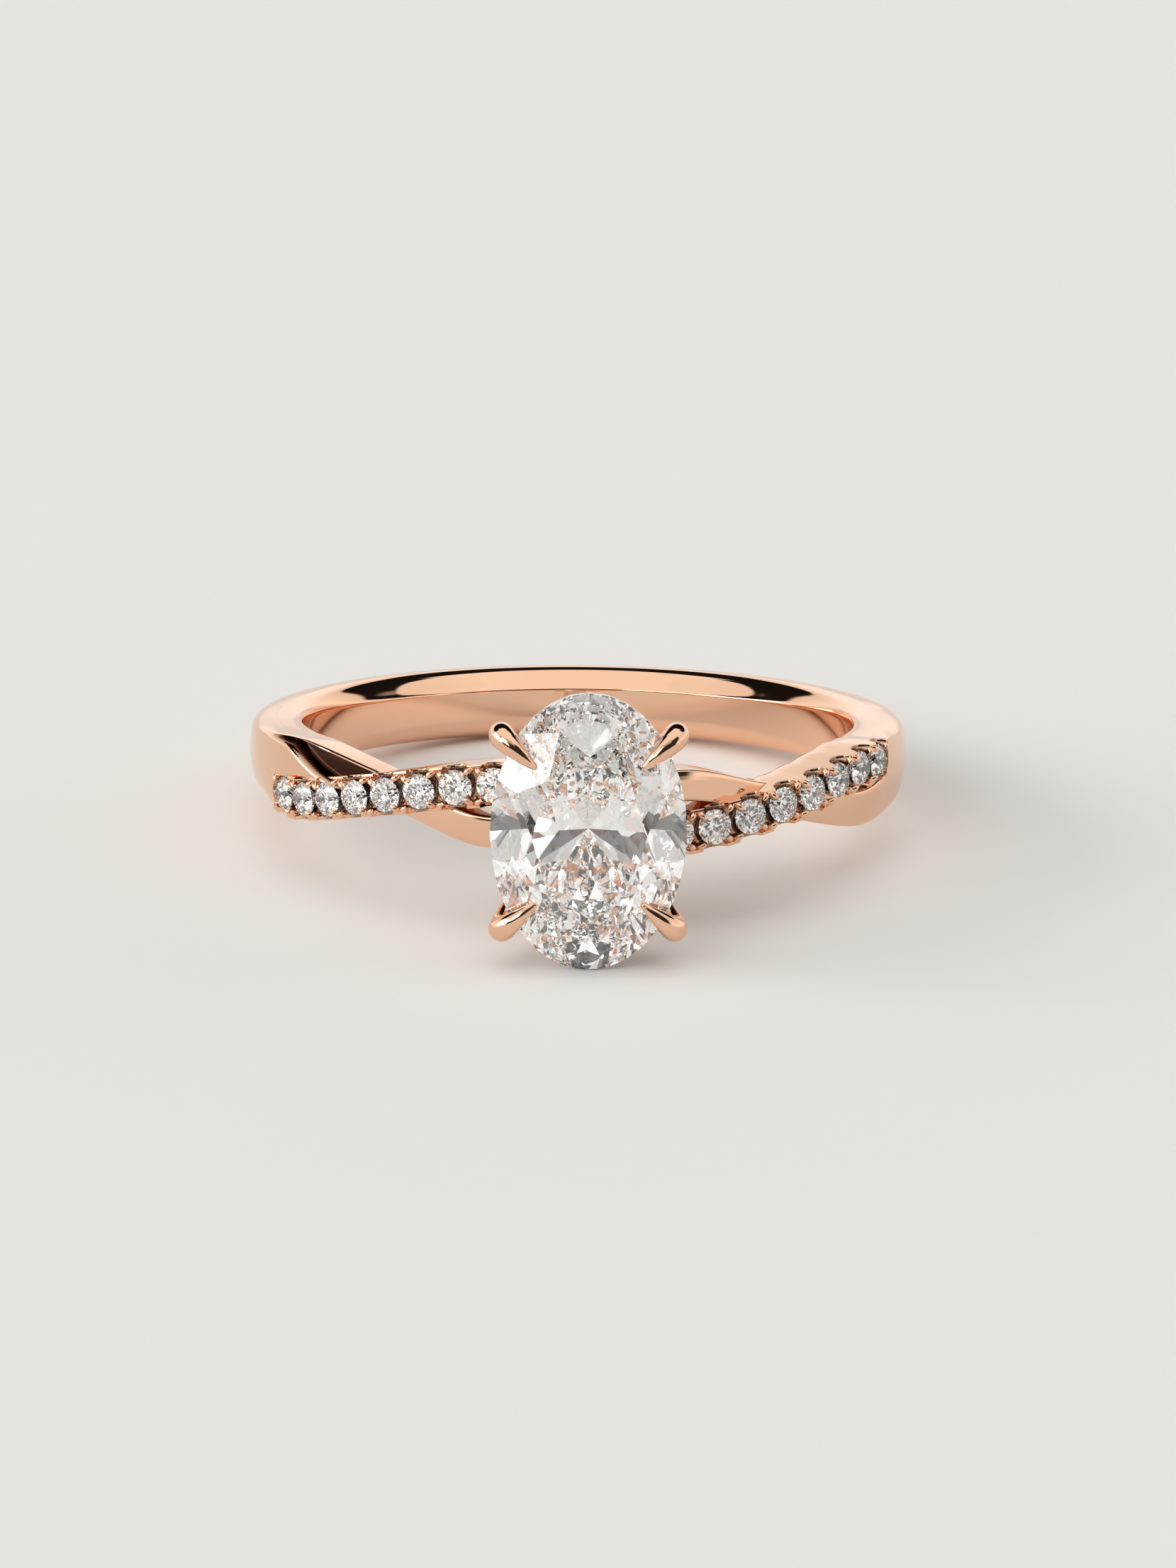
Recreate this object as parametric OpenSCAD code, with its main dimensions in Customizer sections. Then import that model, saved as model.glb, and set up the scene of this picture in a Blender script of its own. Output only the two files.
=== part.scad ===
// A twisted engagement ring, lying on its side as it comes to rest. A plain shank parts at each
// shoulder into two strands that wind round each other in front: one plain, one set with small
// round stones. A four-claw head over the middle crossing holds an oval stone.
//
// Ring frame, in which everything is worked out: the finger goes through along Z, the stone
// faces -Y, and an angle is measured round the finger from the stone towards +X. The ring is
// the same turned half round about the stone's own line, so the tables give one side only.

/* [Finger] */
// Diameter of the hole for the finger
finger_d = 17; // [16:0.25:19]

/* [Shank] */
// Width of the shank at the back
shank_w = 2.3; // [2.1:0.05:2.5]
// Thickness of the shank, finger to outside
shank_t = 1.7; // [1.6:0.05:1.85]

/* [Strands] */
// Width of the plain strand where it crosses under the set one
plain_w = 0.94; // [0.8:0.02:1]
// Width of the set strand
pave_w = 1.28; // [1.24:0.02:1.36]
// How far each strand swings to the side near the head
swing_head = 0.7; // [0.6:0.02:0.76]
// How far each strand swings to the side at the shoulder
swing_shoulder = 0.5; // [0.44:0.02:0.56]

/* [Small stones] */
// Number of small stones on each side
stone_count = 8; // [4:1:8]
// Diameter of a small stone
stone_d = 1.04; // [0.96:0.02:1.08]
// Angle of the first small stone from the middle
first_angle = 15.2; // [14:0.2:16]
// Angle from one small stone to the next
step_angle = 6.7; // [6.6:0.05:6.9]

/* [Centre stone] */
// Width of the oval stone
oval_w = 5.5; // [5.2:0.1:5.8]
// Length of the oval stone, along the finger
oval_l = 7.86; // [7.5:0.1:8.2]
// Height of its widest plane over the outside of the shank
oval_lift = 2.65; // [2.55:0.05:2.9]

/* [Claws] */
// Thickness of a claw where it passes the stone's edge
claw_d = 0.62; // [0.56:0.02:0.66]
// Thickness of a claw's tip
tip_d = 0.2; // [0.16:0.02:0.26]

/* [Clearance] */
// Gap between a stone and the metal that holds it
seat_gap = 0.03; // [0.02:0.01:0.05]

/* [Hidden] */
left_names = [for (k = [1:stone_count]) str("left_stone_", k)];
right_names = [for (k = [1:stone_count]) str("right_stone_", k)];

finger_r = finger_d / 2;
outer_r = finger_r + shank_t;
row_r = outer_r - 0.16;
oval_r = outer_r + oval_lift;
// The set strand's inner face stays back from the finger, so that it never lies flush with the plain one
set_back = 0.04;

// Columns of the tables of sections, one row for each angle round the finger
ANGLE = 0;
SIDE = 1;
ROLL = 2;
HALF = 3;
OUT = 4;
LIKE_SHANK = 5;
INSIDE = 6;
SUNK = 6;

// Plain strand and shank, one closed loop: angle, sideways place, roll, half width, outer radius,
// how much its outer side is like the shank's (0 is a strand, 1 the shank), and its finger side
loop_rows = [
    [0, 0, 0, 0.46, outer_r - 0.08, 0, 0],
    [16, swing_head - 0.04, 2, plain_w / 2, outer_r - 0.16, 0, 0],
    [34, 0, 0, plain_w / 2, outer_r - 0.6, 0, 0],
    [55, -swing_shoulder - 0.12, -14, 0.58, outer_r - 0.07, 0.1, 0],
    [70, -0.35, -4, 0.83, outer_r, 0.5, 0],
    [84, -0.06, 0, 1.09, outer_r, 0.95, 0],
    [98, 0, 0, shank_w / 2, outer_r, 1, 0],
    [112, 0, 0, shank_w / 2, outer_r, 1, 0.2],
    [130, 0, 0, shank_w / 2, outer_r, 1, 0.75],
    [148, 0, 0, shank_w / 2, outer_r, 1, 1],
    [180, 0, 0, shank_w / 2, outer_r, 1, 1]
];
// Set strand, from where it leaves the shank: the same columns, but the last says how far it has
// sunk below the shank's own faces
pave_rows = [
    [0, 0, 0, 0.5, outer_r - 0.5, 0, 0],
    [9, -0.5, 0, pave_w / 2 - 0.04, outer_r - 0.22, 0, 0],
    [16, -swing_head, 0, pave_w / 2, row_r + 0.08, 0, 0],
    [37, -0.08, -2, pave_w / 2, row_r + 0.1, 0, 0],
    [56, swing_shoulder, -1, pave_w / 2, row_r + 0.1, 0, 0],
    [65, swing_shoulder + 0.01, 0, pave_w / 2, outer_r - 0.01, 0, 0],
    [76, swing_shoulder + 0.01, 0, pave_w / 2, outer_r - 0.01, 1, 0.02],
    [88, swing_shoulder, 0, pave_w / 2, outer_r - 0.02, 1, 0.12]
];

// Half outlines, from the middle of the finger side round to the middle of the outside: across and
// out for a strand, for the shank's upper half, and for its rounder lower half, which it rests on
half_outline = [
    [0, 0, 0, 0, 0, 0],
    [0.62, 0, 0.42, 0, 0.42, 0],
    [0.88, 0.05, 0.5, 0.035, 0.73, 0.075],
    [0.98, 0.18, 0.88, 0.21, 0.925, 0.235],
    [1, 0.4, 0.985, 0.34, 1, 0.44],
    [1, 0.82, 1, 0.5, 0.945, 0.66],
    [0.98, 0.93, 0.955, 0.8, 0.765, 0.85],
    [0.9, 0.98, 0.83, 0.93, 0.6, 0.925],
    [0.45, 0.998, 0.46, 0.985, 0.4, 0.968],
    [0, 1, 0, 1, 0, 1]
];
inside_points = 5; // so many of these points are on the finger side
// The same for the set strand, which has upright walls and a flat top: across and out, and the
// place of the same point on the shank
pave_outline = [
    [0, 0, 0, 0],
    [0.6, 0, 0.74, 0.03],
    [0.86, 0.08, 0.88, 0.05],
    [0.97, 0.3, 0.98, 0.18],
    [1, 0.6, 1, 0.45],
    [1, 0.93, 0.955, 0.8],
    [0.93, 1, 0.83, 0.93],
    [0, 1, 0, 0.985]
];
sunk_share = 0.9; // the half that lies inside the shank goes out by this share of the strand's thickness

// Value of a column at an angle, on a smooth curve through the rows
function slope(t, i, c) = i == 0 || i == len(t) - 1
    ? 0 : (t[i + 1][c] - t[i - 1][c]) / (t[i + 1][ANGLE] - t[i - 1][ANGLE]);
function row_at(t, a, i = 0) = i == len(t) - 2 || a < t[i + 1][ANGLE] ? i : row_at(t, a, i + 1);
function curve(t, a, c) =
    let (
        i = row_at(t, a),
        span = t[i + 1][ANGLE] - t[i][ANGLE],
        k = (a - t[i][ANGLE]) / span
    )
    t[i][c] * (1 - 3 * k^2 + 2 * k^3) + t[i + 1][c] * (3 * k^2 - 2 * k^3)
    + span * (slope(t, i, c) * (k - 2 * k^2 + k^3) + slope(t, i + 1, c) * (k^3 - k^2));

// A table for both sides: turned half round about the stone's line, place and roll change sign
function both_sides(t) = concat(
    [for (i = [len(t) - 1:-1:1]) [for (c = [ANGLE:INSIDE]) c <= ROLL ? -t[i][c] : t[i][c]]],
    t
);
loop_table = both_sides(loop_rows);
pave_table = both_sides(pave_rows);

function mix(a, b, k) = a + (b - a) * k;

// Outlines round from the middle of the finger side: the upper half, then the lower one backwards
function loop_outline(a) =
    let (
        outer = curve(loop_table, a, LIKE_SHANK), inner = curve(loop_table, a, INSIDE),
        n = len(half_outline)
    )
    concat(
        [for (i = [0:n - 1])
            let (p = half_outline[i], k = i < inside_points ? inner : outer)
            [mix(p[0], p[2], k), mix(p[1], p[3], k)]],
        [for (i = [n - 2:-1:1])
            let (p = half_outline[i], k = i < inside_points ? inner : outer)
            [-mix(p[0], p[4], k), mix(p[1], p[5], k)]]
    );

// Where the set strand runs into the shank, the half of it that is further out to the side takes on
// the shank's outline and the other half goes inside
function pave_point(a, p, way) =
    let (
        thick = curve(pave_table, a, OUT) - finger_r - set_back, side = curve(pave_table, a, SIDE) * way,
        sunk = curve(pave_table, a, SUNK), k = curve(pave_table, a, LIKE_SHANK)
    )
    side > 0
    ? [way * (p[0] == 0 ? 0 : mix(p[0], (shank_w / 2 * p[2] - sunk - side) / curve(pave_table, a, HALF), k)),
       max(0, mix(p[1], (p[3] * shank_t - set_back - sunk) / thick, k))]
    : [way * p[0], p[1] * mix(1, sunk_share, k)];
function pave_outline_at(a) =
    let (n = len(pave_outline))
    concat(
        [for (i = [0:n - 1]) pave_point(a, pave_outline[i], 1)],
        [for (i = [n - 2:-1:1]) pave_point(a, pave_outline[i], -1)]
    );

// Places an outline at an angle, between the finger's radius and the table's outer one
function ring_section(t, a, outline, inner) =
    let (
        out = curve(t, a, OUT), thick = out - inner, roll = curve(t, a, ROLL), half = curve(t, a, HALF),
        side = curve(t, a, SIDE)
    )
    [for (p = outline)
        let (
            u = p.x * half, v = (p.y - 0.5) * thick,
            h = side + u * cos(roll) + v * sin(roll),
            r = max(inner, inner + thick / 2 - u * sin(roll) + v * cos(roll))
        )
        [r * sin(a), -r * cos(a), h]];

// Skin over a row of sections of equal length, joined into a loop or closed by flat ends
module skin(sections, loop = false) {
    n = len(sections);
    m = len(sections[0]);
    last = loop ? n - 1 : n - 2;
    polyhedron(
        points = [for (s = sections) each s],
        faces = concat(
            [for (i = [0:last], j = [0:m - 1], half = [0, 1])
                let (a = i * m, b = (i + 1) % n * m, k = (j + 1) % m)
                half == 0 ? [a + j, b + j, b + k] : [a + j, b + k, a + k]],
            loop ? [] : [[for (j = [0:m - 1]) j], [for (j = [m - 1:-1:0]) (n - 1) * m + j]]
        ),
        convexity = 10
    );
}

// Draws its child at an angle round the finger: X along the shank, Y along the finger, Z outwards
module placed(a, side, radius, roll = 0) {
    rotate([0, 0, a]) translate([0, -radius, side]) rotate([90 + roll, 0, 0]) children();
}
module at_row(a, lift = 0) {
    placed(a, curve(pave_table, a, SIDE), row_r, curve(pave_table, a, ROLL))
        translate([0, 0, lift]) children();
}

row_angles = [for (k = [0:stone_count - 1]) first_angle + k * step_angle];

// Cut stone: proportions of the width
table_share = 0.58;
crown_share = 0.15;
girdle_share = 0.035;
pavilion_share = 0.43;
star_reach = 0.8;
lower_reach = 0.26;
sides = 8;
half_step = 180 / sides;
oval_fine = 3;

// Brilliant cut: an eight-sided table, stars, kites and girdle facets, over a pointed pavilion.
// The widest plane is at Z 0, grow makes it larger all round, and fine is the number of girdle
// facets on each half of a side.
module brilliant(w, l, grow = 0, fine = 1) {
    crown = w * crown_share + grow;
    edge = w * girdle_share / 2 + grow / 2;
    deep = w * pavilion_share + grow;
    sx = w / 2 + grow;
    sy = l / 2 + grow;
    ring = function (r, z, turn, n) [for (i = [0:n - 1])
        let (a = turn + i * 360 / n) [sx * r * cos(a), sy * r * sin(a), z]];
    star_z = edge + crown * (1 - star_reach * cos(half_step)) / (1 - table_share);
    lower_z = -edge - deep * (1 - lower_reach * cos(half_step));
    m = 2 * sides * fine;
    star = sides;
    top = 2 * sides;
    bottom = top + m;
    lower = bottom + m;
    culet = lower + sides;
    polyhedron(
        points = concat(
            ring(table_share, edge + crown, 0, sides),
            ring(star_reach, star_z, half_step, sides),
            ring(1, edge, 0, m),
            ring(1, -edge, 0, m),
            ring(lower_reach, lower_z, half_step, sides),
            [[0, 0, -edge - deep]]
        ),
        faces = concat(
            [[for (i = [sides - 1:-1:0]) i]],
            [for (i = [0:sides - 1])
                let (j = (i + 1) % sides, h = (i + sides - 1) % sides, g = 2 * fine * i)
                each concat(
                    [[i, j, star + i], [i, star + i, top + g, star + h]],
                    [[bottom + g, lower + i, culet, lower + h]],
                    [for (q = [0:2 * fine - 1])
                        let (a = g + q, b = (g + q + 1) % m)
                        each [[star + i, top + b, top + a], [bottom + a, bottom + b, lower + i]]]
                )],
            [for (i = [0:m - 1]) let (j = (i + 1) % m) [top + i, top + j, bottom + j, bottom + i]]
        ),
        convexity = 4
    );
}

front_step = 3.4;
back_step = 6.8;
front_end = 26 * front_step;
loop_angles = concat(
    [for (a = [-front_end:front_step:front_end]) a],
    [for (a = [front_end + back_step:back_step:360 - front_end - back_step / 2]) a > 180 ? a - 360 : a]
);
pave_step = 4.18;
pave_end = 21 * pave_step;

module plain_loop() {
    skin([for (a = loop_angles) ring_section(loop_table, a, loop_outline(a), finger_r)], loop = true);
}

module pave_strand() {
    skin([for (a = [-pave_end:pave_step:pave_end])
        ring_section(pave_table, a, pave_outline_at(a), finger_r + set_back)]);
}

// U-shaped cut across the strand below each small stone
scallop_r = 0.37;
scallop_lift = 0.05;
scallop_w = 2;
scallop_facets = 10;
// Hole under a small stone, and the height of the room cut above it
drill_r = 0.24;
seat_room = 0.48;
facets = 12;

// Round hole that the stone's pavilion sits in
module seat() {
    wide = stone_d / 2 + seat_gap;
    edge = stone_d * girdle_share / 2 + seat_gap;
    deep = stone_d * (pavilion_share + girdle_share / 2) + seat_gap;
    rotate_extrude($fn = facets)
        polygon([[0, -deep], [drill_r, -deep], [wide, -edge], [wide, seat_room], [0, seat_room]]);
}
module scallop() {
    translate([0, 0, scallop_lift]) rotate([90, 0, 0])
        cylinder(r = scallop_r, h = scallop_w, center = true, $fn = scallop_facets);
}

// Two small prongs between neighbouring stones, one on each edge of the strand
prong_r = 0.14;
prong_tip_r = 0.07;
prong_root = 0.37;
prong_lift = 0.16;
prong_tip_h = 0.05;
prong_facets = 6;
// Distances of a prong's root and tip from the middle of the strand
prong_root_y = 0.45;
prong_tip_y = 0.39;
module prongs(a) {
    for (edge = [-1, 1])
        at_row(a) hull() {
            translate([0, edge * prong_root_y, -prong_root])
                cylinder(r = prong_r, h = prong_root, $fn = prong_facets);
            translate([0, edge * prong_tip_y, prong_lift])
                cylinder(r = prong_tip_r, h = prong_tip_h, $fn = prong_facets);
        }
}

// Columns of the table of a claw
CROSS = 0;
ALONG = 1;
AWAY = 2;
THICK = 3;
// Centre line of the claw in the +X +Z quarter: across the finger, along it, out from it, and thickness
claw_rows = [
    [1.0, 0.9, outer_r - 0.6, 0.66],
    [1.2, 1.12, outer_r + 0.2, 0.6],
    [1.72, 1.78, outer_r + 1.2, 0.56],
    [2.22, 2.44, oval_r - 0.6, 0.6],
    [2.43, 2.74, oval_r - 0.1, claw_d],
    [2.4, 2.72, oval_r + 0.22, claw_d],
    [2.2, 2.54, oval_r + 0.46, 0.54],
    [1.9, 2.28, oval_r + 0.6, 0.4],
    [1.66, 2.07, oval_r + 0.64, 0.28],
    [1.54, 1.97, oval_r + 0.63, tip_d]
];
claw_sides = 10;

// Round section of a tube at one point of its centre line, square to the line there
function unit(v) = v / norm(v);
function tube_section(c, course, aside, r, n) =
    let (z = unit(course), x = unit(cross(aside, z)), y = cross(z, x))
    [for (j = [0:n - 1]) let (a = j * 360 / n) c + r * (cos(a) * x + sin(a) * y)];

function claw_point(i) = [claw_rows[i][CROSS], claw_rows[i][ALONG], claw_rows[i][AWAY]];
module claw() {
    n = len(claw_rows);
    skin([for (i = [0:n - 1])
        let (
            c = claw_point(i),
            course = claw_point(min(n - 1, i + 1)) - claw_point(max(0, i - 1))
        )
        tube_section(c, course, [-c.y, c.x, 0], claw_rows[i][THICK] / 2, claw_sides)]);
}

// Rails of the head: half width, half length, height over the finger's middle and wire thickness
upper_rail = [2.02, 2.62, outer_r + 1.25, 0.44];
lower_rail = [1.26, 1.16, outer_r + 0.05, 0.56];
rail_sides = 8;
rail_steps = 28;
module rail(rx, ry, z, wire) {
    skin([for (i = [0:rail_steps - 1])
        let (a = i * 360 / rail_steps)
        tube_section([rx * cos(a), ry * sin(a), z], [-rx * sin(a), ry * cos(a), 0], [0, 0, 1], wire / 2,
                     rail_sides)],
        loop = true);
}

module head() {
    for (x = [0, 1], y = [0, 1]) mirror([x, 0, 0]) mirror([0, y, 0]) claw();
    for (r = [upper_rail, lower_rail]) rail(r[0], r[1], r[2], r[3]);
}

module shank_and_head() {
    color("#d9a084") resting() difference() {
        union() {
            plain_loop();
            difference() {
                pave_strand();
                for (side = [-1, 1], a = row_angles) at_row(side * a) scallop();
            }
            for (side = [-1, 1], k = [0:stone_count - 1])
                prongs(side * (first_angle + (k - 0.5) * step_angle));
            placed(0, 0, 0) head();
        }
        for (side = [-1, 1], a = row_angles) at_row(side * a) seat();
        placed(0, 0, oval_r) brilliant(oval_w, oval_l, seat_gap, oval_fine);
    }
}

module centre_stone() {
    color("#e6e8ea") resting() placed(0, 0, oval_r) brilliant(oval_w, oval_l, fine = oval_fine);
}

module small_stone(a) {
    color("#e6e8ea") resting() at_row(a) brilliant(stone_d, stone_d);
}

// Rest: the shank's lower back edge, where half_outline is widest, and the oval's lower end both
// touch the surface
widest_out = half_outline[4][5];
edge_r = mix(finger_r, outer_r, widest_out);
edge_drop = shank_w / 2;
oval_edge = oval_w * girdle_share / 2;
oval_drop = oval_l / 2;
lean = atan((oval_drop - edge_drop) / (oval_r - oval_edge + edge_r));
rise = edge_r * sin(lean) + edge_drop * cos(lean);
// Middle of the whole ring, from the table's lower end to the shank's back
front_reach = (oval_r + oval_edge + oval_w * crown_share) * cos(lean) + oval_drop * table_share * sin(lean);
shift = (front_reach - outer_r * cos(lean)) / 2;
module resting() {
    translate([0, shift, rise]) rotate([-lean, 0, 0]) children();
}

shank_and_head();
centre_stone();
for (k = [0:stone_count - 1]) {
    small_stone(-row_angles[k]);
    small_stone(row_angles[k]);
}
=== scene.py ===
# Twisted engagement ring, lying on its side on a pale table.
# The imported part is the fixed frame. This script adds the polished metal and the finer oval stone,
# and gives the small stones their glass.
import math
import bpy
import numpy as np
from mathutils import Matrix, Vector


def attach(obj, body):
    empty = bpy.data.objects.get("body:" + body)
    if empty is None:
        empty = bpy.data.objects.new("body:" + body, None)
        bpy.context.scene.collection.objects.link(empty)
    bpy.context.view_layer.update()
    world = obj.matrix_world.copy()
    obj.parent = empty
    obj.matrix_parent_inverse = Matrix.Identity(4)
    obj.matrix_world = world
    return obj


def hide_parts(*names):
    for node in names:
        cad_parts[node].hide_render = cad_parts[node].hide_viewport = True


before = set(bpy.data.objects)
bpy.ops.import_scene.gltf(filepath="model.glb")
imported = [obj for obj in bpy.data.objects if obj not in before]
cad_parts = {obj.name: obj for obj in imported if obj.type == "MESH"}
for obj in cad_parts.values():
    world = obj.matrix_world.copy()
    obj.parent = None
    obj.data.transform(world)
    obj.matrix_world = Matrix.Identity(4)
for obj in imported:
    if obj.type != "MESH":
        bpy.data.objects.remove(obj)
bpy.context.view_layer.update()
print("frame loaded:", len(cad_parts), "nodes")

mm = 0.001

# Ring frame, in millimetres: the finger goes through along Z, the oval stone faces -Y, and an angle is
# measured round the finger from the stone towards +X. The ring is the same turned half round.
ring = {
    "fingerRadius": 8.5,
    "rowRadius": 10.04,      # widest plane of the small stones
    "ovalRadius": 12.85,     # widest plane of the oval stone
    "lean": 7.20137,         # degrees that the resting ring leans back
    "rise": 2.30023,
    "shift": 1.91441,
}


def atRest(points):
    # turns ring-frame points back by the lean, lifts and shifts them to where the ring rests, in metres
    lean = math.radians(ring["lean"])
    x, y, z = np.moveaxis(np.asarray(points, float), -1, 0)
    return np.stack([x, ring["shift"] + y * math.cos(lean) + z * math.sin(lean),
                     ring["rise"] - y * math.sin(lean) + z * math.cos(lean)], axis=-1) * mm


def unit(v):
    # vectors at length 1: each divided by its own length
    return v / np.linalg.norm(v, axis=-1, keepdims=True)


def tableCurve(rows, column, at):
    # cubic pieces through a column's values; the slope at a row is that between its two neighbours
    rows = np.asarray(rows, float)
    knots, values = rows[:, 0], rows[:, column]
    slopes = np.zeros(len(rows))
    slopes[1:-1] = (values[2:] - values[:-2]) / (knots[2:] - knots[:-2])
    i = np.clip(np.searchsorted(knots, at, side="right") - 1, 0, len(rows) - 2)
    span = knots[i + 1] - knots[i]
    k = (at - knots[i]) / span
    return (values[i] * (1 - 3 * k**2 + 2 * k**3) + values[i + 1] * (3 * k**2 - 2 * k**3)
            + span * (slopes[i] * (k - 2 * k**2 + k**3) + slopes[i + 1] * (k**3 - k**2)))


def bothSides(rows):
    # the other side is the same turned half round: angle, side and roll change sign
    rows = np.asarray(rows, float)
    other = rows[:0:-1].copy()
    other[:, :3] *= -1
    return np.vstack([other, rows])


def smoothLine(points, count):
    # cubic curve through points, at evenly spaced steps of the length along it
    points = np.asarray(points, float)
    length = np.r_[0, np.cumsum(np.linalg.norm(np.diff(points, axis=0), axis=1))]
    rows = np.c_[length, points]
    at = np.linspace(0, length[-1], count)
    line = np.stack([tableCurve(rows, 1 + c, at) for c in range(points.shape[1])], axis=-1)
    line[0], line[-1] = points[0], points[-1]
    return line


def gridFaces(rows, columns, loopRows, loopColumns):
    # one square for each cell of a grid of points, running on past the last row or column where it loops
    i = np.arange(rows if loopRows else rows - 1)[:, None]
    j = np.arange(columns if loopColumns else columns - 1)[None, :]
    a = i * columns + j
    b = (i + 1) % rows * columns + j
    c = (i + 1) % rows * columns + (j + 1) % columns
    d = i * columns + (j + 1) % columns
    return np.stack(np.broadcast_arrays(a, b, c, d), axis=-1).reshape(-1, 4)


def makePiece(name, points, faces, material, sharpAngle=None, replaced="shank_and_head",
              paintedCreaseShade=None):
    # a mesh object at the origin, its faces turned outwards by the sign of the volume that they enclose;
    # the last argument says how far each point takes the painted shade of the creases, 0 to 1
    points = np.asarray(points, float).reshape(-1, 3)
    volume = 0.0
    for group in faces:
        p = points[group]
        for k in range(1, group.shape[1] - 1):
            volume += np.einsum("ij,ij->i", p[:, 0], np.cross(p[:, k], p[:, k + 1])).sum()
    if volume < 0:
        faces = [group[:, ::-1] for group in faces]
    mesh = bpy.data.meshes.new(name)
    mesh.from_pydata(points.tolist(), [], [f for group in faces for f in group.tolist()])
    if paintedCreaseShade is not None:
        # a per-point attribute that darkens the metal there with painted shade
        shadeLayer = mesh.attributes.new("paintedCreaseShade", "FLOAT", "POINT")
        shadeLayer.data.foreach_set("value", np.ravel(paintedCreaseShade).astype(np.float32))
    mesh.validate()
    mesh.materials.append(material)
    if sharpAngle is None:
        mesh.shade_flat()
    else:
        mesh.shade_smooth()
        mesh.set_sharp_from_angle(angle=math.radians(sharpAngle))
    piece = bpy.data.objects.new(name, mesh)
    bpy.context.scene.collection.objects.link(piece)
    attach(piece, "root")
    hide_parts(replaced)
    print(name, len(points), "points")


def tube(path, radii, sides, aside, loop=False):
    # a round section carried along a path: the section's X is square to the path and to a side direction
    n = len(path)
    ahead = np.roll(path, -1, axis=0) - np.roll(path, 1, axis=0)
    if not loop:
        ahead[0], ahead[-1] = path[1] - path[0], path[-1] - path[-2]
    z = unit(ahead)
    x = unit(np.cross(np.broadcast_to(aside, z.shape), z))
    y = np.cross(z, x)
    turn = np.linspace(0, 2 * math.pi, sides, endpoint=False)[None, :, None]
    r = np.broadcast_to(np.asarray(radii, float), (n,))[:, None, None]
    return path[:, None, :] + r * (np.cos(turn) * x[:, None, :] + np.sin(turn) * y[:, None, :])


def capFaces(first, count, centre):
    # triangles from a ring of points to its middle point
    j = np.arange(count)
    return np.stack([first + j, first + (j + 1) % count, np.full(count, centre)], axis=-1)


def closedTube(grid):
    # points and faces of an open tube with its two ends closed by fans
    rows, columns = grid.shape[:2]
    points = np.vstack([grid.reshape(-1, 3), grid[0].mean(axis=0), grid[-1].mean(axis=0)])
    last = rows * columns
    start = capFaces(0, columns, last)[:, ::-1]
    end = capFaces((rows - 1) * columns, columns, last + 1)
    return points, gridFaces(rows, columns, False, True), np.vstack([start, end])


def joined(parts):
    # many point-and-face sets as one, with the faces' numbers moved on
    points, quads, tris, start = [], [], [], 0
    for p, q, t in parts:
        points.append(p)
        quads.append(q + start)
        tris.append(t + start)
        start += len(p)
    return np.vstack(points), [np.vstack(quads), np.vstack(tris)]


def mirroredFaces(quads, ends, x, y):
    # faces of a copy mirrored by two signs; a single mirror turns them inside out, so they are turned back
    if x * y < 0:
        return quads[:, ::-1], ends[:, ::-1]
    return quads, ends


# Materials

def newMaterial(name):
    material = bpy.data.materials.new(name)
    material.use_nodes = True
    tree = material.node_tree
    return material, tree, tree.nodes["Principled BSDF"]


def addNode(tree, kind, **settings):
    made = tree.nodes.new(kind)
    for key, value in settings.items():
        setattr(made, key, value)
    return made


def colourMix(tree, factor, below, above, **settings):
    # one colour laid over another by a factor; a colour mix has its two colours at 6 and 7
    mix = addNode(tree, "ShaderNodeMix", data_type="RGBA", **settings)
    tree.links.new(factor, mix.inputs["Factor"])
    tree.links.new(below, mix.inputs[6])
    mix.inputs[7].default_value = above
    return mix.outputs[2]


def cloudedPolish(tree, look, shader):
    # roughness between two limits, by a soft noise that sits on the piece
    place = addNode(tree, "ShaderNodeTexCoord")
    cloud = addNode(tree, "ShaderNodeTexNoise")
    cloud.inputs["Scale"].default_value = look["cloudScale"]
    cloud.inputs["Detail"].default_value = look["cloudDetail"]
    tree.links.new(place.outputs["Object"], cloud.inputs["Vector"])
    rough = addNode(tree, "ShaderNodeMapRange")
    rough.inputs["To Min"].default_value = look["roughLow"]
    rough.inputs["To Max"].default_value = look["roughHigh"]
    tree.links.new(cloud.outputs["Fac"], rough.inputs["Value"])
    tree.links.new(rough.outputs["Result"], shader.inputs["Roughness"])
    return cloud


goldLook = {
    "colour": (0.91, 0.575, 0.395, 1),
    "deepColour": (0.88, 0.54, 0.36, 1),
    # painted shade laid into creases, gaps, the hollow and the stones' seats
    "creaseShadeColour": (0.04, 0.016, 0.01, 1),
    "roughLow": 0.035,
    "roughHigh": 0.075,
    "cloudScale": 240,       # soft clouding of the polish, cycles a metre
    "cloudDetail": 3,
    "cloudSpan": [0.35, 0.65],
}


def polishedGold():
    # tint and roughness drift with a soft noise, and painted shade darkens the creases towards a near-black
    # brown by a per-point attribute
    material, tree, gloss = newMaterial("polished_rose_gold")
    cloud = cloudedPolish(tree, goldLook, gloss)
    tint = addNode(tree, "ShaderNodeValToRGB")
    tint.color_ramp.elements[0].position = goldLook["cloudSpan"][0]
    tint.color_ramp.elements[0].color = goldLook["deepColour"]
    tint.color_ramp.elements[1].position = goldLook["cloudSpan"][1]
    tint.color_ramp.elements[1].color = goldLook["colour"]
    tree.links.new(cloud.outputs["Fac"], tint.inputs["Fac"])
    # painted shade: the per-point attribute mixes the near-black brown over the tint
    paintedCreaseShade = addNode(tree, "ShaderNodeAttribute", attribute_name="paintedCreaseShade")
    creaseShaded = colourMix(tree, paintedCreaseShade.outputs["Fac"], tint.outputs["Color"], goldLook["creaseShadeColour"])
    tree.links.new(creaseShaded, gloss.inputs["Base Color"])
    gloss.inputs["Metallic"].default_value = 1
    return material


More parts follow.
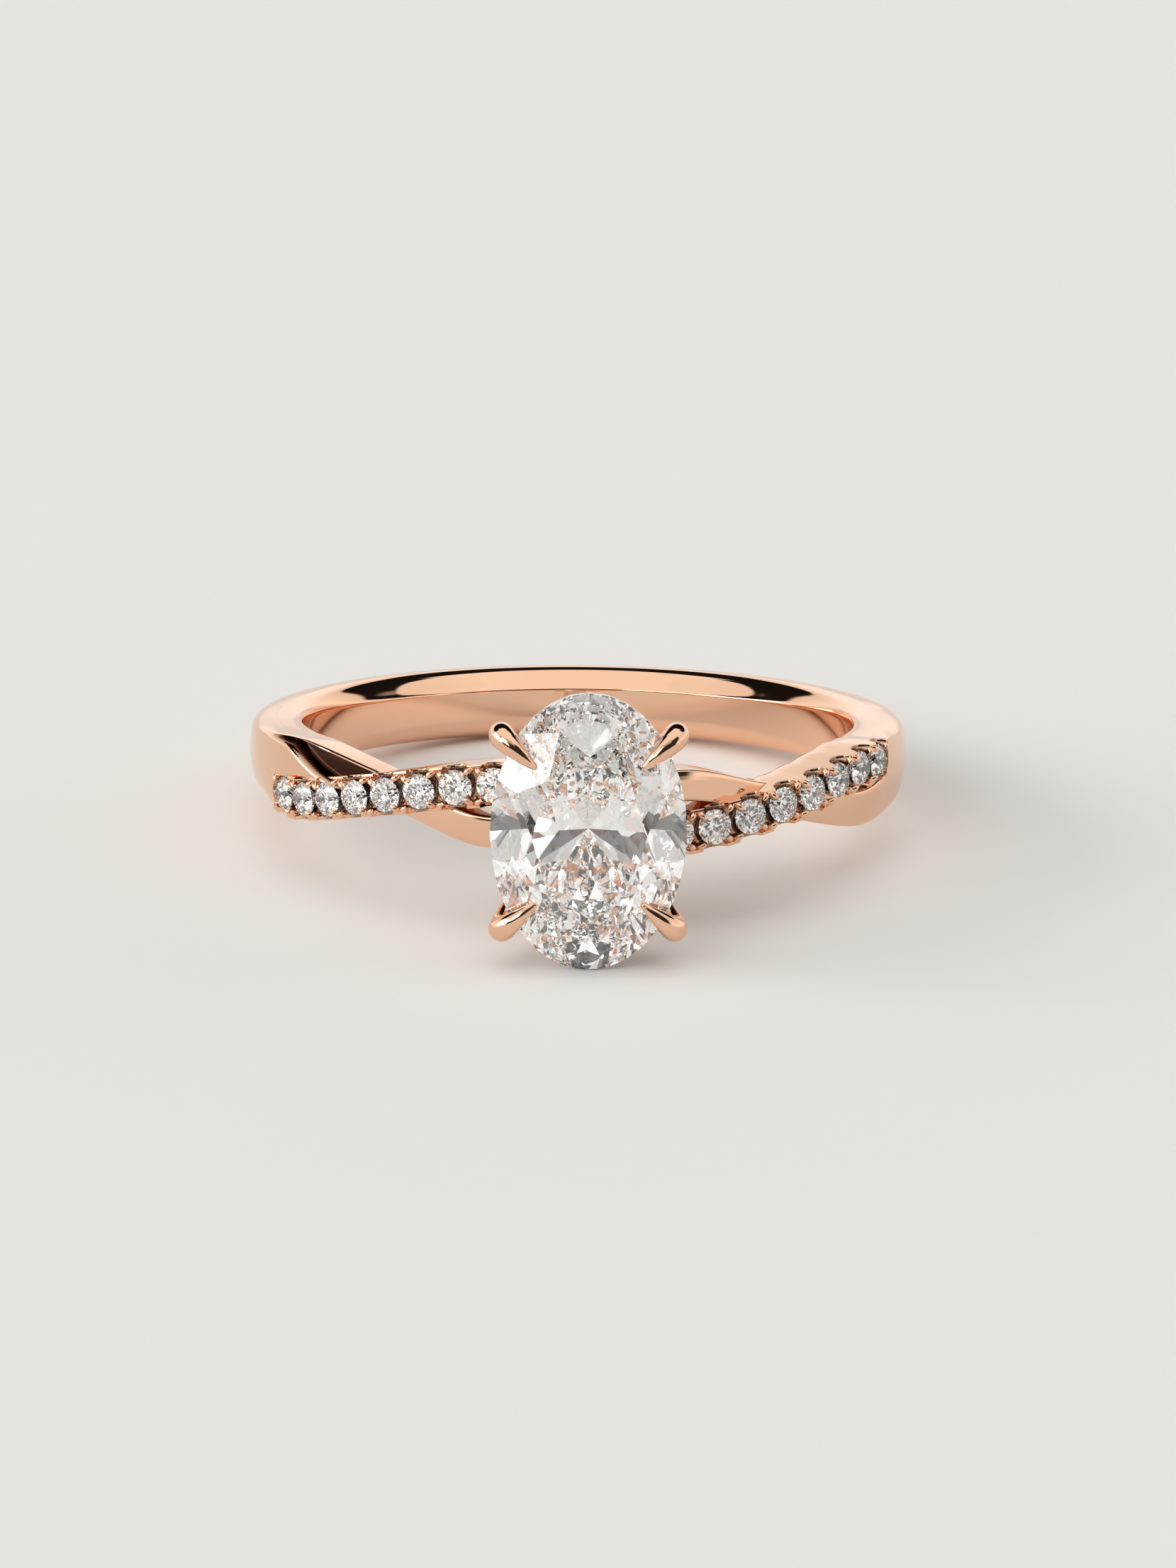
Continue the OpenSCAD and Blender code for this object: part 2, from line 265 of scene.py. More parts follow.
stoneLook = {
    "index": 2.42,
    "sparkle": 0.5,          # 0.5 is a plain stone's shine
    "roughLow": 0.0,
    "roughHigh": 0.012,
    "cloudScale": 900,
    "cloudDetail": 2,
}


def cutDiamond():
    # clear glass of a diamond's index, its polish drifting a little with a noise
    material, tree, glass = newMaterial("cut_diamond")
    cloudedPolish(tree, stoneLook, glass)
    glass.inputs["Base Color"].default_value = (1, 1, 1, 1)
    glass.inputs["Transmission Weight"].default_value = 1
    glass.inputs["IOR"].default_value = stoneLook["index"]
    glass.inputs["Specular IOR Level"].default_value = stoneLook["sparkle"]
    return material


roseGold = polishedGold()
diamond = cutDiamond()
print("materials made")

# Plain strand and shank: one closed loop.
# Columns: angle, side, roll, half width, outer radius, and how far its outside and its inside have turned
# into the shank's
loopRows = [
    [0, 0, 0, 0.46, 10.12, 0, 0],
    [16, 0.66, 2, 0.47, 10.04, 0, 0],
    [34, 0, 0, 0.47, 9.6, 0, 0],
    [55, -0.62, -9, 0.58, 10.1, 0.1, 0],
    [70, -0.35, -3, 0.83, 10.18, 0.5, 0],
    [84, -0.06, 0, 1.09, 10.18, 0.95, 0],
    [98, 0, 0, 1.15, 10.18, 1, 0],
    [112, 0, 0, 1.15, 10.18, 1, 0.2],
    [130, 0, 0, 1.15, 10.18, 1, 0.75],
    [148, 0, 0, 1.15, 10.18, 1, 1],
    [180, 0, 0, 1.15, 10.18, 1, 1],
]
# Half outlines from the finger side to the outside: across and out for a strand, for the shank's upper half
# and for its rounder lower half
halfOutline = [
    [0, 0, 0, 0, 0, 0],
    [0.62, 0, 0.42, 0, 0.42, 0],
    [0.88, 0.05, 0.5, 0.035, 0.73, 0.075],
    [0.98, 0.18, 0.88, 0.21, 0.92, 0.235],
    [1, 0.4, 0.985, 0.34, 0.986, 0.43],
    [1, 0.82, 1, 0.5, 0.94, 0.66],
    [0.98, 0.93, 0.955, 0.8, 0.765, 0.85],
    [0.9, 0.98, 0.83, 0.93, 0.6, 0.925],
    [0.45, 0.998, 0.46, 0.985, 0.4, 0.968],
    [0, 1, 0, 1, 0, 1],
]
# Small stones of one side: how many, the first one's angle and the step to the next
stoneRow = {"count": 8, "firstAngle": 15.2, "stepAngle": 6.7}
# The set strand that holds them; columns: angle, side, roll, half width, outer radius
setRows = [
    [0, 0, 0, 0.5, 9.7],
    [9, -0.5, 0, 0.6, 9.98],
    [16, -0.7, 0, 0.64, 10.12],
    [37, -0.08, -2, 0.64, 10.14],
    [56, 0.5, -1, 0.64, 10.14],
    [65, 0.51, 0, 0.64, 10.19],
    [100, 0.51, 0, 0.64, 10.195],
]
plainLoop = {
    "angleStep": 0.6, "outlinePoints": 56, "sharpAngle": 40,
    "seatHalf": 0.54, "seatDeep": 0.5,        # room for the small stones where the two strands cross
    "gapEnd": 28.0, "gapFull": 12.0, "gapShade": 0.62,   # painted shade on the faces in the narrow gap between the strands
    "gapSide": [0.7, 0.97],                   # how far across such a face begins and is full
    "insideSpan": [0.8, 0.4],                 # shares of the depth where the finger side begins and is full
}
# Hollow under the plain strand's left edge: it starts at a point on the shoulder and widens towards the stone
hollow = {
    # columns: angle, how high its lower limit is there
    "lowLimit": [[-75, 1.12], [-60, 0.86], [-52, 0.2], [-44, -0.3]],
    "startAngle": -74.0, "fullAngle": -66.0, "endAngle": -40.0,
    "edgeLeft": 0.05, "edgeSoft": 0.09, "lowSoft": 0.34,
    "endFade": 6.0, "outSpan": [0.5, 0.75],   # it fades over this angle, and lies on the outer face
    # the hollow's cut depth in mm, and the depth share at which its painted shade is full
    "deep": 0.42, "shadeFull": 0.4,
}


def smoothStep(low, high, x):
    # 0 below the low limit and 1 above the high one, with three k squared less two k cubed between
    k = np.clip((x - low) / (high - low), 0, 1)
    return k * k * (3 - 2 * k)


def insideShare(out):
    # 1 on the finger side of a strand's outline and 0 on its outer side
    return smoothStep(*plainLoop["insideSpan"], out)


def gapShadeShare(angles, across):
    # how much painted shade a side face takes: most beside the head, on the side that looks at the other
    # strand
    share = smoothStep(plainLoop["gapEnd"], plainLoop["gapFull"], np.abs(angles))
    return plainLoop["gapShade"] * share * smoothStep(*plainLoop["gapSide"], np.sign(angles) * across)


def hollowShare(angles, h, topEdge):
    # 1 at full depth: above the slanted lower limit, below the strand's top edge, and fading out at both ends
    low = np.interp(angles, *np.transpose(hollow["lowLimit"]))
    edge = topEdge - hollow["edgeLeft"]
    share = smoothStep(0, 1, (h - low) / hollow["lowSoft"])
    share = share * smoothStep(0, 1, (edge - h) / hollow["edgeSoft"])
    share = share * smoothStep(hollow["startAngle"], hollow["fullAngle"], angles)
    return share * smoothStep(hollow["endAngle"] + hollow["endFade"], hollow["endAngle"], angles)


def sectionPoints(rows, angles, across, out, inner):
    # places an outline at each angle: turned by the roll about its own middle, and never inside the
    # finger's hole
    a = np.radians(angles)[:, None]
    side, roll, half, outer = [tableCurve(rows, c, angles)[:, None] for c in (1, 2, 3, 4)]
    roll = np.radians(roll)
    thick = outer - inner
    u, v = across * half, (out - 0.5) * thick
    h = side + u * np.cos(roll) + v * np.sin(roll)
    r = np.maximum(inner, inner + thick / 2 - u * np.sin(roll) + v * np.cos(roll))
    return np.stack([r * np.sin(a), -r * np.cos(a), h + 0 * r], axis=-1)


def stoneAngles():
    # the first angle plus whole steps, on one side and with the sign changed on the other
    one = stoneRow["firstAngle"] + stoneRow["stepAngle"] * np.arange(stoneRow["count"])
    return np.r_[-one[::-1], one]


def clearOfStones(points):
    # pulls the loop's surface in to below each small stone's underside, a cone round the stone's middle
    angles = np.degrees(np.arctan2(points[..., 0], -points[..., 1]))
    r = np.hypot(points[..., 0], points[..., 1])
    limit = r.copy()
    rowSides = tableCurve(bothSides(setRows), 1, stoneAngles())
    for at, side in zip(stoneAngles(), rowSides):
        along = np.radians(angles - at) * ring["rowRadius"]
        reach = np.hypot(along, points[..., 2] - side) / plainLoop["seatHalf"]
        cone = ring["rowRadius"] - plainLoop["seatDeep"] * (1 - reach)
        limit = np.where(reach < 1, np.minimum(limit, np.maximum(cone, ring["fingerRadius"])), limit)
    return points * np.stack([limit / r, limit / r, 1 + 0 * r], axis=-1)


def buildPlainLoop():
    # the outline changes from the strand's to the shank's with the angle, and closes on itself
    table = bothSides(loopRows)
    angles = np.arange(-180, 180, plainLoop["angleStep"])
    outline = smoothLine(halfOutline, plainLoop["outlinePoints"])
    upper, lower = outline[:, :4], outline[-2:0:-1][:, [0, 1, 4, 5]] * [-1, 1, -1, 1]
    outline = np.vstack([upper, lower])
    k, inside = [tableCurve(table, c, angles)[:, None] for c in (5, 6)]
    k = k + (inside - k) * insideShare(outline[:, 1])
    across = outline[:, 0] + (outline[:, 2] - outline[:, 0]) * k
    out = outline[:, 1] + (outline[:, 3] - outline[:, 1]) * k
    side, half, outer = [tableCurve(table, c, angles)[:, None] for c in (1, 3, 4)]
    share = hollowShare(angles[:, None], side + across * half, side + half)
    share = share * smoothStep(*hollow["outSpan"], out)
    out = out - share * hollow["deep"] / (outer - ring["fingerRadius"])
    grid = atRest(clearOfStones(sectionPoints(table, angles, across, out, ring["fingerRadius"])))
    # painted shade: darkest in the hollow and in the narrow gap beside the head
    paintedCreaseShade = np.maximum(smoothStep(0, hollow["shadeFull"], share), gapShadeShare(angles[:, None], -across))
    makePiece("plain_strand_and_shank", grid, [gridFaces(*grid.shape[:2], True, True)], roseGold,
              plainLoop["sharpAngle"], paintedCreaseShade=paintedCreaseShade)


buildPlainLoop()

# Set strand: upright walls and a flat top, cut away for the stones
setStrand = {
    "setBack": 0.05,
    "fineFrom": 11.0, "fineTo": 67.0, "fineStep": 0.14, "coarseStep": 0.6, "endAngle": 100.0,
    "topPoints": 44, "wallPoints": 12, "basePoints": 6,
    "wall": [[0.6, 0], [0.86, 0.08], [0.97, 0.3], [1, 0.6], [1, 1]],   # across and out
    "shankFrom": 62.0, "shankTo": 76.0,       # here its outline turns into the shank's
    "seatRadius": 0.56, "seatDeep": 0.42, "seatEdge": 0.12,
    "bowlMiddle": 1.25, "bowlFall": 0.85,     # shares of the seat's depth at its middle and lost to its edge
    "channelHalf": 0.45, "channelDeep": 0.3, "channelSpan": [1.1, 0.9], "rowEnd": 0.1,
    "scallopRadius": 0.37, "scallopDeep": 0.34,
    "postTopDown": 0.12, "rimFrom": 0.5, "rimSoft": 0.05,
    "edgeDown": 0.03, "edgeFrom": 0.9, "edgeWide": 0.1,    # rounding of the top's edges
    # painted shade: how dark the scallops get, and the share of the cut at which it begins
    "scallopShade": 0.75, "shadeFrom": 0.35,
    "hair": 0.004, "farWall": 0.6,            # inside the shank's face by this, and the hidden wall's reach
    "shankPoints": 200,
    "sharpAngle": 38,
}


def strandCut(s, u):
    # how deep the top is cut: U-shaped scallops over the walls, a round seat under each stone,
    # and a channel along the middle that leaves only posts between two stones
    scallop = np.zeros_like(s + u)
    seat = np.zeros_like(s + u)
    row = stoneAngles() * math.radians(1) * ring["rowRadius"]
    for at in row:
        k = np.clip(1 - ((s - at) / setStrand["scallopRadius"]) ** 2, 0, 1)
        scallop = np.maximum(scallop, setStrand["scallopDeep"] * np.sqrt(k) + 0 * u)
        reach = np.hypot(s - at, u) / setStrand["seatRadius"]
        bowl = setStrand["seatDeep"] * np.clip(setStrand["bowlMiddle"] - setStrand["bowlFall"] * reach, 0, 1)
        seat = np.maximum(seat, np.where(reach < 1, setStrand["seatEdge"] + bowl, 0))
    gap = (row[1] - row[0]) / 2
    inRow = (np.abs(s) > row[row > 0][0] - gap) & (np.abs(s) < row[-1] + setStrand["rowEnd"])
    aside = np.abs(u) / setStrand["channelHalf"]
    channel = setStrand["channelDeep"] * smoothStep(*setStrand["channelSpan"], aside) * inRow
    rim = setStrand["rimFrom"]
    posts = setStrand["postTopDown"] * inRow * smoothStep(rim + setStrand["rimSoft"], rim, np.abs(u))
    return np.maximum(scallop, posts), np.maximum(seat, channel)


def shankSection(column):
    # one half of the shank's outline in millimetres, a hair inside it: sideways, and radius
    outline = smoothLine(halfOutline, setStrand["shankPoints"])
    shank = outline[:, column:column + 2]
    outline = shank + (outline[:, :2] - shank) * insideShare(outline[:, 1:2])
    half, outer = loopRows[-1][3:5]
    deep = outer - ring["fingerRadius"]
    hair = setStrand["hair"]
    return outline[:, 0] * half - hair, ring["fingerRadius"] + outline[:, 1] * deep - hair


def shankOut(h, thick, column):
    # the outer surface of the shank at a side height, as a share of the strand's own thickness
    side, radius = shankSection(column)
    outer = side.argmax()
    r = np.interp(np.abs(h), side[outer:][::-1], radius[outer:][::-1])
    return (r - ring["fingerRadius"] - setStrand["setBack"]) / thick


def shankReach(side, out, thick, column):
    # how far out from the strand's middle the shank's face is, at a share of the strand's thickness
    face, radius = shankSection(column)
    reach = np.interp(ring["fingerRadius"] + setStrand["setBack"] + out * thick, radius, face) - np.abs(side)
    return np.where(side > 0, reach, setStrand["farWall"])


def buildSetStrand():
    # for each angle, an outline: base, wall, top across, wall; the top's height follows the cuts
    table = bothSides(setRows)
    far, near = setStrand["fineTo"], setStrand["fineFrom"]
    half = np.r_[np.arange(0, near, setStrand["coarseStep"]), np.arange(near, far, setStrand["fineStep"]),
                 np.arange(far, setStrand["endAngle"], setStrand["coarseStep"]), setStrand["endAngle"]]
    angles = np.r_[-half[:0:-1], half]
    halfW = tableCurve(table, 3, angles)[:, None]
    s = np.radians(angles)[:, None] * ring["rowRadius"]
    inner = ring["fingerRadius"] + setStrand["setBack"]
    thick = tableCurve(table, 4, angles)[:, None] - inner
    top = np.linspace(-1, 1, setStrand["topPoints"])[None, :]
    scallop, seat = strandCut(s, top * halfW)
    edgeShare = np.clip((np.abs(top) - setStrand["edgeFrom"]) / setStrand["edgeWide"], 0, 1)
    edge = setStrand["edgeDown"] * edgeShare ** 2
    topOut = 1 - (np.maximum(scallop, seat) + edge) / thick
    like = smoothStep(setStrand["shankFrom"], setStrand["shankTo"], np.abs(angles))[:, None]
    side = tableCurve(table, 1, angles)[:, None]
    below = angles[:, None] < 0          # there the strand meets the shank's lower half
    shankTop = [shankOut(side + top * halfW, thick, column) for column in (2, 4)]
    topOut = topOut + (np.where(below, shankTop[1], shankTop[0]) - topOut) * like
    wall = smoothLine(setStrand["wall"], setStrand["wallPoints"] + 1)[:-1]
    walls = []
    for way in (1, -1):
        edgeOut = topOut[:, -1:] if way > 0 else topOut[:, :1]
        wallOut = wall[:, 1] * edgeOut
        reach = [shankReach(side * way, wallOut, thick, column) / halfW for column in (2, 4)]
        wallAcross = wall[:, 0] + (np.where(below, reach[1], reach[0]) - wall[:, 0]) * like
        walls.append((way * wallAcross, wallOut))
    (rightAcross, rightOut), (leftAcross, leftOut) = walls
    base = np.linspace(0, 1, setStrand["basePoints"] + 2)[None, 1:-1]
    baseAcross = leftAcross[:, :1] + (rightAcross[:, :1] - leftAcross[:, :1]) * base
    topAcross = np.broadcast_to(top, (len(angles), setStrand["topPoints"]))
    across = np.hstack([baseAcross, rightAcross, topAcross[:, ::-1], leftAcross[:, ::-1]])
    out = np.hstack([0 * baseAcross, rightOut, topOut[:, ::-1], leftOut[:, ::-1]])
    grid = atRest(sectionPoints(table, angles, across, out, inner))
    points, quads, ends = closedTube(grid)
    # painted shade in the scallops and the stones' seats, and on the walls in the gap between the strands
    scallopShare = setStrand["scallopShade"] * scallop / setStrand["scallopDeep"]
    cut = np.maximum(scallopShare, seat / setStrand["seatDeep"])
    topShade = smoothStep(setStrand["shadeFrom"], 1, cut)
    rightShade, leftShade = [gapShadeShare(angles[:, None], across) for across in (rightAcross, leftAcross)]
    paintedCreaseShade = np.hstack([0 * baseAcross, rightShade, topShade[:, ::-1], leftShade[:, ::-1]])
    makePiece("set_strand", points, [quads, ends], roseGold, setStrand["sharpAngle"],
              paintedCreaseShade=np.r_[paintedCreaseShade.ravel(), 0, 0])


buildSetStrand()

# Small prongs: a pair on each edge between two stones, each leaning over its stone
prong = {
    # columns: along from the gap's middle, sideways, out from the row, radius
    "line": [[0.08, 0.51, -0.38, 0.085], [0.085, 0.505, -0.08, 0.1], [0.12, 0.475, 0.06, 0.105],
             [0.18, 0.425, 0.13, 0.088], [0.25, 0.375, 0.15, 0.045]],
    "rings": 12, "sides": 12, "sharpAngle": 60,
}


def rowPlace(angles, local):
    # local along-strand, sideways and outward points, carried to each stone-row angle with its roll
    table = bothSides(setRows)
    a = np.radians(angles)[:, None]
    side = tableCurve(table, 1, angles)[:, None]
    roll = np.radians(tableCurve(table, 2, angles))[:, None]
    s, u, n = local[:, 0][None, :], local[:, 1][None, :], local[:, 2][None, :]
    h = side + u * np.cos(roll) + n * np.sin(roll)
    r = ring["rowRadius"] - u * np.sin(roll) + n * np.cos(roll)
    x = r * np.sin(a) + s * np.cos(a)
    y = -r * np.cos(a) + s * np.sin(a)
    return np.stack([x, y, h + 0 * x], axis=-1)


def buildProngs():
    # one short tapering tube, mirrored along and across: four to a stone, from the gaps on its two sides
    line = smoothLine(prong["line"], prong["rings"])
    grid = tube(line[:, :3], line[:, 3], prong["sides"], np.array([1.0, 0, 0]))
    points, quads, ends = closedTube(grid)
    parts = []
    for along in (-1, 1):
        for edge in (-1, 1):
            gaps = stoneAngles() - along * stoneRow["stepAngle"] / 2
            placed = rowPlace(gaps, points * [along, edge, 1])
            parts += [(one, *mirroredFaces(quads, ends, along, edge)) for one in placed]
    allPoints, faces = joined(parts)
    makePiece("stone_prongs", atRest(allPoints), faces, roseGold, prong["sharpAngle"])


buildProngs()

# Head: four claws and two rails of round wire.
# Columns: across the finger, along it, out from it, thickness
clawRows = [
    [1.0, 0.9, 9.6, 0.66],
    [1.2, 1.12, 10.4, 0.6],
    [1.72, 1.78, 11.4, 0.56],
    [2.22, 2.44, 12.25, 0.62],
    [2.43, 2.74, 12.75, 0.7],
    [2.4, 2.72, 13.07, 0.72],
    [2.2, 2.54, 13.31, 0.62],
    [1.9, 2.28, 13.45, 0.45],
    [1.66, 2.07, 13.49, 0.29],
    [1.54, 1.97, 13.48, 0.2],
]
head = {
    "clawRings": 72, "clawSides": 36, "tipRings": 8, "sharpAngle": 60,
    "railSteps": 160, "railSides": 28,
    "upperRail": [2.02, 2.62, 11.45, 0.44],
    "lowerRail": [1.26, 1.16, 10.25, 0.56],
}


def headPlace(points):
    # the head's across, along and out as ring-frame X, Z and -Y
    return np.stack([points[..., 0], -points[..., 2], points[..., 1]], axis=-1)


def buildClaws():
    # a round section along the claw's line, its tip closed by a round end
    line = smoothLine(clawRows, head["clawRings"])
    path, radius = line[:, :3], line[:, 3] / 2
    aside = np.stack([-path[:, 1], path[:, 0], 0 * path[:, 0]], axis=-1)
    tip = np.linspace(0, 1, head["tipRings"])[1:-1]
    ahead = unit(path[-1] - path[-2])
    path = np.vstack([path, path[-1] + ahead * radius[-1] * tip[:, None]])
    radius = np.r_[radius, radius[-1] * np.sqrt(1 - tip**2)]
    aside = np.vstack([aside, np.repeat(aside[-1:], len(tip), axis=0)])
    grid = tube(path, radius, head["clawSides"], aside)
    points, quads, ends = closedTube(grid)
    parts = []
    for x in (-1, 1):
        for y in (-1, 1):
            parts.append((points * [x, y, 1], *mirroredFaces(quads, ends, x, y)))
    allPoints, faces = joined(parts)
    makePiece("head_claws", atRest(headPlace(allPoints)), faces, roseGold, head["sharpAngle"])


def buildRails():
    # a round section along an oval
    turn = np.linspace(0, 2 * math.pi, head["railSteps"], endpoint=False)
    parts = []
    for rx, ry, out, wire in (head["upperRail"], head["lowerRail"]):
        path = np.stack([rx * np.cos(turn), ry * np.sin(turn), out + 0 * turn], axis=-1)
        grid = tube(path, wire / 2, head["railSides"], np.array([0, 0, 1.0]), loop=True)
        quads = gridFaces(*grid.shape[:2], True, True)
        parts.append((grid.reshape(-1, 3), quads, np.zeros((0, 3), int)))
    allPoints, faces = joined(parts)
    makePiece("head_rails", atRest(headPlace(allPoints)), [faces[0]], roseGold, head["sharpAngle"])


buildClaws()
buildRails()

# Oval stone: table, stars, kites and girdle facets over a pavilion of several tiers
oval = {
    "width": 5.5, "length": 7.86,
    "table": 0.58, "crown": 0.15, "girdle": 0.035, "pavilion": 0.43,
    "starReach": 0.8, "sides": 8, "girdleFacets": 32,
    "tiers": [[0.6, 16, 0], [0.3, 8, 0]],
    "bow": 1.1,              # over 1 the pavilion is steeper at the girdle than at the point
}


def ovalRing(radius, height, count, turn):
    # evenly turned points on an ellipse: half the stone's width and length, times a radius of 0 to 1
    a = np.radians(turn) + np.linspace(0, 2 * math.pi, count, endpoint=False)
    return np.stack([oval["width"] / 2 * radius * np.cos(a), oval["length"] / 2 * radius * np.sin(a),
                     height + 0 * a], axis=-1)


def between(lower, lowerCount, upper, upperCount, lowerTurn, upperTurn):
    # triangles that join two rings of different counts, walking both in step by angle
    tris = []
    i = j = 0
    aLower = lowerTurn + 360 / lowerCount * np.arange(lowerCount + 1)
    aUpper = upperTurn + 360 / upperCount * np.arange(upperCount + 1)
    while i < lowerCount or j < upperCount:
        stepLower = j >= upperCount or (
            i < lowerCount and aLower[i + 1] + aLower[i] < aUpper[j + 1] + aUpper[j])
        a, b = lower + i % lowerCount, upper + j % upperCount
        if stepLower:
            tris.append([a, b, lower + (i + 1) % lowerCount])
            i += 1
        else:
            tris.append([a, b, upper + (j + 1) % upperCount])
            j += 1
    return tris


def buildOval():
    # rings of points from the table to the culet, joined by flat triangles
    w = oval["width"]
    crown, edge, deep = w * oval["crown"], w * oval["girdle"] / 2, w * oval["pavilion"]
    sides, m = oval["sides"], oval["girdleFacets"]
    half = 180 / sides
    starZ = edge + crown * (1 - oval["starReach"] * math.cos(math.radians(half))) / (1 - oval["table"])
    rings = [ovalRing(oval["table"], edge + crown, sides, 0), ovalRing(oval["starReach"], starZ, sides, half),
             ovalRing(1, edge, m, 0), ovalRing(1, -edge, m, 0)]
    for radius, count, turn in oval["tiers"]:
        rings.append(ovalRing(radius, -edge - deep * (1 - radius ** oval["bow"]), count, turn))
    rings.append(np.array([[0, 0, -edge - deep]]))
    start = np.r_[0, np.cumsum([len(r) for r in rings])]
    table, star, top, bottom = start[:4]
    tris, quads = [], []
    per = m // sides
    for i in range(sides):
        j, h, g = (i + 1) % sides, (i - 1) % sides, per * i
        tris.append([table + i, star + i, table + j])
        tris += [[table + i, star + h, top + g], [table + i, top + g, star + i]]
        for q in range(per):
            tris.append([star + i, top + g + q, top + (g + q + 1) % m])
    for i in range(m):
        quads.append([top + i, bottom + i, bottom + (i + 1) % m, top + (i + 1) % m])
    count, turn, first = m, 0.0, bottom
    for k, (radius, nextCount, nextTurn) in enumerate(oval["tiers"]):
        tris += between(first, count, start[4 + k], nextCount, turn, nextTurn)
        count, turn, first = nextCount, nextTurn, start[4 + k]
    culet = start[-2]
    tris += [[first + i, culet, first + (i + 1) % count] for i in range(count)]
    points = np.vstack(rings)
    points[:, 2] += ring["ovalRadius"]
    faces = [np.array([list(range(sides))]), np.array(tris), np.array(quads)]
    return points, faces


def addOval():
    # lifts the stone's facets into the head and leaves them flat
    points, faces = buildOval()
    makePiece("oval_brilliant", atRest(headPlace(points)), faces, diamond, None, "centre_stone")


addOval()

for name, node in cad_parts.items():
    if "stone_" in name:
        node.data.materials.clear()
        node.data.materials.append(diamond)
print("stones given their glass")

# Table, light and camera
floorLook = {
    "size": 3.0,
    "colour": (0.975, 0.965, 0.95, 1),
    "deepColour": (0.965, 0.955, 0.94, 1),
    "grainScale": 60,
    "roughness": 0.9,
    "shine": 0.1,
}


def addFloor():
    # one large square of matt card with a fine grain
    mesh = bpy.data.meshes.new("table_top")
    s = floorLook["size"]
    mesh.from_pydata([(-s, -s, 0), (s, -s, 0), (s, s, 0), (-s, s, 0)], [], [(0, 1, 2, 3)])
    material, tree, matt = newMaterial("pale_card")
    place = addNode(tree, "ShaderNodeTexCoord")
    grain = addNode(tree, "ShaderNodeTexNoise")
    grain.inputs["Scale"].default_value = floorLook["grainScale"]
    tree.links.new(place.outputs["Object"], grain.inputs["Vector"])
    tint = addNode(tree, "ShaderNodeValToRGB")
    tint.color_ramp.elements[0].color = floorLook["deepColour"]
    tint.color_ramp.elements[1].color = floorLook["colour"]
    tree.links.new(grain.outputs["Fac"], tint.inputs["Fac"])
    tree.links.new(tint.outputs["Color"], matt.inputs["Base Color"])
    matt.inputs["Roughness"].default_value = floorLook["roughness"]
    matt.inputs["Specular IOR Level"].default_value = floorLook["shine"]
    mesh.materials.append(material)
    floor = bpy.data.objects.new("table_top", mesh)
    bpy.context.scene.collection.objects.link(floor)


addFloor()

studio = {
    "warm": (1.0, 0.985, 0.955),
    "strength": 1.09,
    "wall": (0.74, 0.725, 0.69, 1),
    "bounces": 24,           # light is followed this far through the stones and the gold
    # brightness of the room by height of the direction, 0 level and 1 straight up
    "heights": [(0.0, 0.82), (0.07, 1.04), (0.2, 1.02), (0.4, 0.82), (1.0, 0.98)],
    # soft patches of the room: how bright, then the low and high limits across, away and up, and the blur
    "patches": [
        ("black_card", 0.008, (-0.8, 0.8), (0.2, 1.1), (0.42, 0.9), 0.04),
        ("overhead_box", 0.98, (-0.5, 0.5), (-0.5, 0.34), (0.6, 1.1), 0.05),
        ("left_box", 4.0, (-1.1, -0.68), (-0.6, 0.25), (0.15, 0.52), 0.12),
        ("camera_shade", 0.03, (-0.8, 0.8), (-1.1, -0.37), (0.05, 0.75), 0.12),
        ("front_box", 0.55, (-0.35, 0.25), (-0.75, -0.54), (0.6, 1.1), 0.06),
        ("front_window", 2.8, (-0.9, -0.35), (-0.95, -0.45), (0.3, 0.7), 0.08),
    ],
}


def softSpan(tree, source, limits, blur):
    # 1 between two limits, falling smoothly to 0 over the blur's width at each
    ends = []
    for limit, inward in zip(limits, (1, -1)):
        step = addNode(tree, "ShaderNodeMapRange", interpolation_type="SMOOTHSTEP")
        step.inputs["From Min"].default_value = limit - inward * blur / 2
        step.inputs["From Max"].default_value = limit + inward * blur / 2
        tree.links.new(source, step.inputs["Value"])
        ends.append(step.outputs["Result"])
    return multiplied(tree, ends)


def multiplied(tree, sockets):
    # the product of all the values
    result = sockets[0]
    for socket in sockets[1:]:
        times = addNode(tree, "ShaderNodeMath", operation="MULTIPLY")
        tree.links.new(result, times.inputs[0])
        tree.links.new(socket, times.inputs[1])
        result = times.outputs["Value"]
    return result


